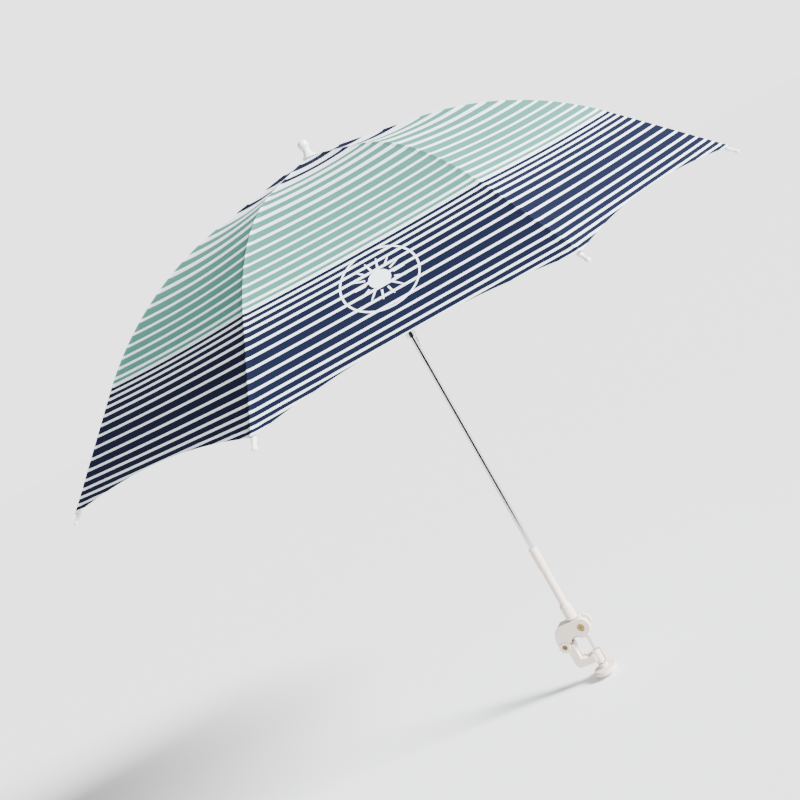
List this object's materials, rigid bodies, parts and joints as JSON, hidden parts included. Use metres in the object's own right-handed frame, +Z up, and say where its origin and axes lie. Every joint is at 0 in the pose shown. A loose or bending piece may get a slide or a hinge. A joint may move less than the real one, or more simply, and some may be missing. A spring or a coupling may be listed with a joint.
{
  "type": "clamp-on sun umbrella",
  "caption": "Small folding sun umbrella with a striped canopy on a slim chromed shaft, and a tilting hand-screw clamp that grips a chair tube.",
  "frame": {"origin": "centre of the chair tube gripped under the upper jaw", "axes": "+Z up along the shaft, +Y along the gripped tube, +X from the jaw hinge to the clamp bolt"},
  "size_m": [1.0148, 1.0148, 0.8751],
  "materials": {
    "canopy_fabric": "satin woven polyester, navy, white and mint stripes",
    "white_plastic": "fine satin moulding",
    "white_gloss": "glossy moulding",
    "chrome": "bright plated steel",
    "wire": "drawn wire",
    "rib": "white glass-fibre rod",
    "channel": "pressed bright channel",
    "rubber": "soft matt",
    "dark_screw": "dark brass",
    "brass": "plain brass"
  },
  "bodies": {
    "clamp": {"upper_jaw": "white_plastic", "jaw_pin": "dark_screw", "jaw_pad": "rubber", "clamp_bolt": "chrome", "tilt_bolt": "dark_screw", "tilt_nut": "brass"},
    "lower_jaw": {"lower_jaw": "white_plastic"},
    "knob_washer": {"knob_washer": "chrome"},
    "knob": {"knob": "white_plastic"},
    "mast": {"collar": "white_plastic", "handle": "white_plastic", "shaft": "chrome", "crown_notch": "white_plastic", "crown_wire": "wire", "finial": "white_gloss", "canopy": "canopy_fabric"},
    "catch": {"catch": "chrome"},
    "runner": {"runner": "chrome", "runner_wire": "wire"},
    "rib_inner_1": {"rib_inner_1": "rib", "joiner_1": "channel"},
    "rib_outer_1": {"rib_outer_1": "rib", "rib_cap_1": "white_gloss"},
    "stretcher_1": {"stretcher_1": "channel"},
    "rib_inner_2": {"rib_inner_2": "rib", "joiner_2": "channel"},
    "rib_outer_2": {"rib_outer_2": "rib", "rib_cap_2": "white_gloss"},
    "stretcher_2": {"stretcher_2": "channel"},
    "rib_inner_3": {"rib_inner_3": "rib", "joiner_3": "channel"},
    "rib_outer_3": {"rib_outer_3": "rib", "rib_cap_3": "white_gloss"},
    "stretcher_3": {"stretcher_3": "channel"},
    "rib_inner_4": {"rib_inner_4": "rib", "joiner_4": "channel"},
    "rib_outer_4": {"rib_outer_4": "rib", "rib_cap_4": "white_gloss"},
    "stretcher_4": {"stretcher_4": "channel"},
    "rib_inner_5": {"rib_inner_5": "rib", "joiner_5": "channel"},
    "rib_outer_5": {"rib_outer_5": "rib", "rib_cap_5": "white_gloss"},
    "stretcher_5": {"stretcher_5": "channel"},
    "rib_inner_6": {"rib_inner_6": "rib", "joiner_6": "channel"},
    "rib_outer_6": {"rib_outer_6": "rib", "rib_cap_6": "white_gloss"},
    "stretcher_6": {"stretcher_6": "channel"},
    "rib_inner_7": {"rib_inner_7": "rib", "joiner_7": "channel"},
    "rib_outer_7": {"rib_outer_7": "rib", "rib_cap_7": "white_gloss"},
    "stretcher_7": {"stretcher_7": "channel"},
    "rib_inner_8": {"rib_inner_8": "rib", "joiner_8": "channel"},
    "rib_outer_8": {"rib_outer_8": "rib", "rib_cap_8": "white_gloss"},
    "stretcher_8": {"stretcher_8": "channel"}
  },
  "joints": [
    {"name": "tilt", "type": "hinge", "parent": "clamp", "child": "mast", "pos_m": [0.0135, 0, 0.0205], "axis": [0, 1, 0], "range_deg": [0, 90]},
    {"name": "knob_travel", "type": "slide", "parent": "clamp", "child": "knob_washer", "axis": [0, 0, -1], "range_m": [0, 0.012]},
    {"name": "knob_spin", "type": "hinge", "parent": "knob_washer", "child": "knob", "pos_m": [0.0125, 0, -0.0545], "axis": [0, 0, 1], "continuous": true},
    {"name": "jaw_open", "type": "hinge", "parent": "clamp", "child": "lower_jaw", "pos_m": [-0.0235, 0, 0.0005], "axis": [0, 1, 0], "range_deg": [0, 14.1]},
    {"name": "catch_press", "type": "slide", "parent": "mast", "child": "catch", "axis": [-0.9239, -0.3827, 0], "range_m": [0, 0.0022], "stiffness_N_per_m": 400, "springref_m": -0.001},
    {"name": "runner_slide", "type": "slide", "parent": "mast", "child": "runner", "axis": [0, 0, 1], "range_m": [-0.28972, 0], "deforming": ["canopy"]},
    {"name": "rib_fold_1", "type": "hinge", "parent": "mast", "child": "rib_inner_1", "pos_m": [0.013, 0, 0.78144], "axis": [0, 1, 0], "range_deg": [0, 74.31]},
    {"name": "rib_flex_1", "type": "hinge", "parent": "rib_inner_1", "child": "rib_outer_1", "pos_m": [0.23886, 0, 0.73223], "axis": [0, 1, 0], "range_deg": [-20.73, 0]},
    {"name": "stretcher_fold_1", "type": "hinge", "parent": "runner", "child": "stretcher_1", "pos_m": [0.016, 0, 0.5575], "axis": [0, 1, 0], "range_deg": [-49.78, 0]},
    {"name": "rib_fold_2", "type": "hinge", "parent": "mast", "child": "rib_inner_2", "pos_m": [0.0108, 0.0053, 0.78144], "axis": [-0.7071, 0.7071, 0], "range_deg": [0, 74.31]},
    {"name": "rib_flex_2", "type": "hinge", "parent": "rib_inner_2", "child": "rib_outer_2", "pos_m": [0.17051, 0.16501, 0.73223], "axis": [-0.7071, 0.7071, 0], "range_deg": [-20.73, 0]},
    {"name": "stretcher_fold_2", "type": "hinge", "parent": "runner", "child": "stretcher_2", "pos_m": [0.01293, 0.00743, 0.5575], "axis": [-0.7071, 0.7071, 0], "range_deg": [-49.78, 0]},
    {"name": "rib_fold_3", "type": "hinge", "parent": "mast", "child": "rib_inner_3", "pos_m": [0.0055, 0.0075, 0.78144], "axis": [-1, 0, 0], "range_deg": [0, 74.31]},
    {"name": "rib_flex_3", "type": "hinge", "parent": "rib_inner_3", "child": "rib_outer_3", "pos_m": [0.0055, 0.23336, 0.73223], "axis": [-1, 0, 0], "range_deg": [-20.73, 0]},
    {"name": "stretcher_fold_3", "type": "hinge", "parent": "runner", "child": "stretcher_3", "pos_m": [0.0055, 0.0105, 0.5575], "axis": [-1, 0, 0], "range_deg": [-49.78, 0]},
    {"name": "rib_fold_4", "type": "hinge", "parent": "mast", "child": "rib_inner_4", "pos_m": [0.0002, 0.0053, 0.78144], "axis": [-0.7071, -0.7071, 0], "range_deg": [0, 74.31]},
    {"name": "rib_flex_4", "type": "hinge", "parent": "rib_inner_4", "child": "rib_outer_4", "pos_m": [-0.15951, 0.16501, 0.73223], "axis": [-0.7071, -0.7071, 0], "range_deg": [-20.73, 0]},
    {"name": "stretcher_fold_4", "type": "hinge", "parent": "runner", "child": "stretcher_4", "pos_m": [-0.00193, 0.00743, 0.5575], "axis": [-0.7071, -0.7071, 0], "range_deg": [-49.78, 0]},
    {"name": "rib_fold_5", "type": "hinge", "parent": "mast", "child": "rib_inner_5", "pos_m": [-0.002, 0, 0.78144], "axis": [0, -1, 0], "range_deg": [0, 74.31]},
    {"name": "rib_flex_5", "type": "hinge", "parent": "rib_inner_5", "child": "rib_outer_5", "pos_m": [-0.22786, 0, 0.73223], "axis": [0, -1, 0], "range_deg": [-20.73, 0]},
    {"name": "stretcher_fold_5", "type": "hinge", "parent": "runner", "child": "stretcher_5", "pos_m": [-0.005, 0, 0.5575], "axis": [0, -1, 0], "range_deg": [-49.78, 0]},
    {"name": "rib_fold_6", "type": "hinge", "parent": "mast", "child": "rib_inner_6", "pos_m": [0.0002, -0.0053, 0.78144], "axis": [0.7071, -0.7071, 0], "range_deg": [0, 74.31]},
    {"name": "rib_flex_6", "type": "hinge", "parent": "rib_inner_6", "child": "rib_outer_6", "pos_m": [-0.15951, -0.16501, 0.73223], "axis": [0.7071, -0.7071, 0], "range_deg": [-20.73, 0]},
    {"name": "stretcher_fold_6", "type": "hinge", "parent": "runner", "child": "stretcher_6", "pos_m": [-0.00193, -0.00743, 0.5575], "axis": [0.7071, -0.7071, 0], "range_deg": [-49.78, 0]},
    {"name": "rib_fold_7", "type": "hinge", "parent": "mast", "child": "rib_inner_7", "pos_m": [0.0055, -0.0075, 0.78144], "axis": [1, 0, 0], "range_deg": [0, 74.31]},
    {"name": "rib_flex_7", "type": "hinge", "parent": "rib_inner_7", "child": "rib_outer_7", "pos_m": [0.0055, -0.23336, 0.73223], "axis": [1, 0, 0], "range_deg": [-20.73, 0]},
    {"name": "stretcher_fold_7", "type": "hinge", "parent": "runner", "child": "stretcher_7", "pos_m": [0.0055, -0.0105, 0.5575], "axis": [1, 0, 0], "range_deg": [-49.78, 0]},
    {"name": "rib_fold_8", "type": "hinge", "parent": "mast", "child": "rib_inner_8", "pos_m": [0.0108, -0.0053, 0.78144], "axis": [0.7071, 0.7071, 0], "range_deg": [0, 74.31]},
    {"name": "rib_flex_8", "type": "hinge", "parent": "rib_inner_8", "child": "rib_outer_8", "pos_m": [0.17051, -0.16501, 0.73223], "axis": [0.7071, 0.7071, 0], "range_deg": [-20.73, 0]},
    {"name": "stretcher_fold_8", "type": "hinge", "parent": "runner", "child": "stretcher_8", "pos_m": [0.01293, -0.00743, 0.5575], "axis": [0.7071, 0.7071, 0], "range_deg": [-49.78, 0]}
  ],
  "couplings": [
    {"joint": "jaw_open", "follows": "knob_travel", "rad_per_m": 20.362},
    {"joint": "rib_fold_1", "follows": "runner_slide", "rad_per_m": -4.4647},
    {"joint": "rib_flex_1", "follows": "runner_slide", "rad_per_m": 1.2369},
    {"joint": "stretcher_fold_1", "follows": "runner_slide", "rad_per_m": 2.9865},
    {"joint": "rib_fold_2", "follows": "runner_slide", "rad_per_m": -4.4647},
    {"joint": "rib_flex_2", "follows": "runner_slide", "rad_per_m": 1.2369},
    {"joint": "stretcher_fold_2", "follows": "runner_slide", "rad_per_m": 2.9865},
    {"joint": "rib_fold_3", "follows": "runner_slide", "rad_per_m": -4.4647},
    {"joint": "rib_flex_3", "follows": "runner_slide", "rad_per_m": 1.2369},
    {"joint": "stretcher_fold_3", "follows": "runner_slide", "rad_per_m": 2.9865},
    {"joint": "rib_fold_4", "follows": "runner_slide", "rad_per_m": -4.4647},
    {"joint": "rib_flex_4", "follows": "runner_slide", "rad_per_m": 1.2369},
    {"joint": "stretcher_fold_4", "follows": "runner_slide", "rad_per_m": 2.9865},
    {"joint": "rib_fold_5", "follows": "runner_slide", "rad_per_m": -4.4647},
    {"joint": "rib_flex_5", "follows": "runner_slide", "rad_per_m": 1.2369},
    {"joint": "stretcher_fold_5", "follows": "runner_slide", "rad_per_m": 2.9865},
    {"joint": "rib_fold_6", "follows": "runner_slide", "rad_per_m": -4.4647},
    {"joint": "rib_flex_6", "follows": "runner_slide", "rad_per_m": 1.2369},
    {"joint": "stretcher_fold_6", "follows": "runner_slide", "rad_per_m": 2.9865},
    {"joint": "rib_fold_7", "follows": "runner_slide", "rad_per_m": -4.4647},
    {"joint": "rib_flex_7", "follows": "runner_slide", "rad_per_m": 1.2369},
    {"joint": "stretcher_fold_7", "follows": "runner_slide", "rad_per_m": 2.9865},
    {"joint": "rib_fold_8", "follows": "runner_slide", "rad_per_m": -4.4647},
    {"joint": "rib_flex_8", "follows": "runner_slide", "rad_per_m": 1.2369},
    {"joint": "stretcher_fold_8", "follows": "runner_slide", "rad_per_m": 2.9865}
  ]
}
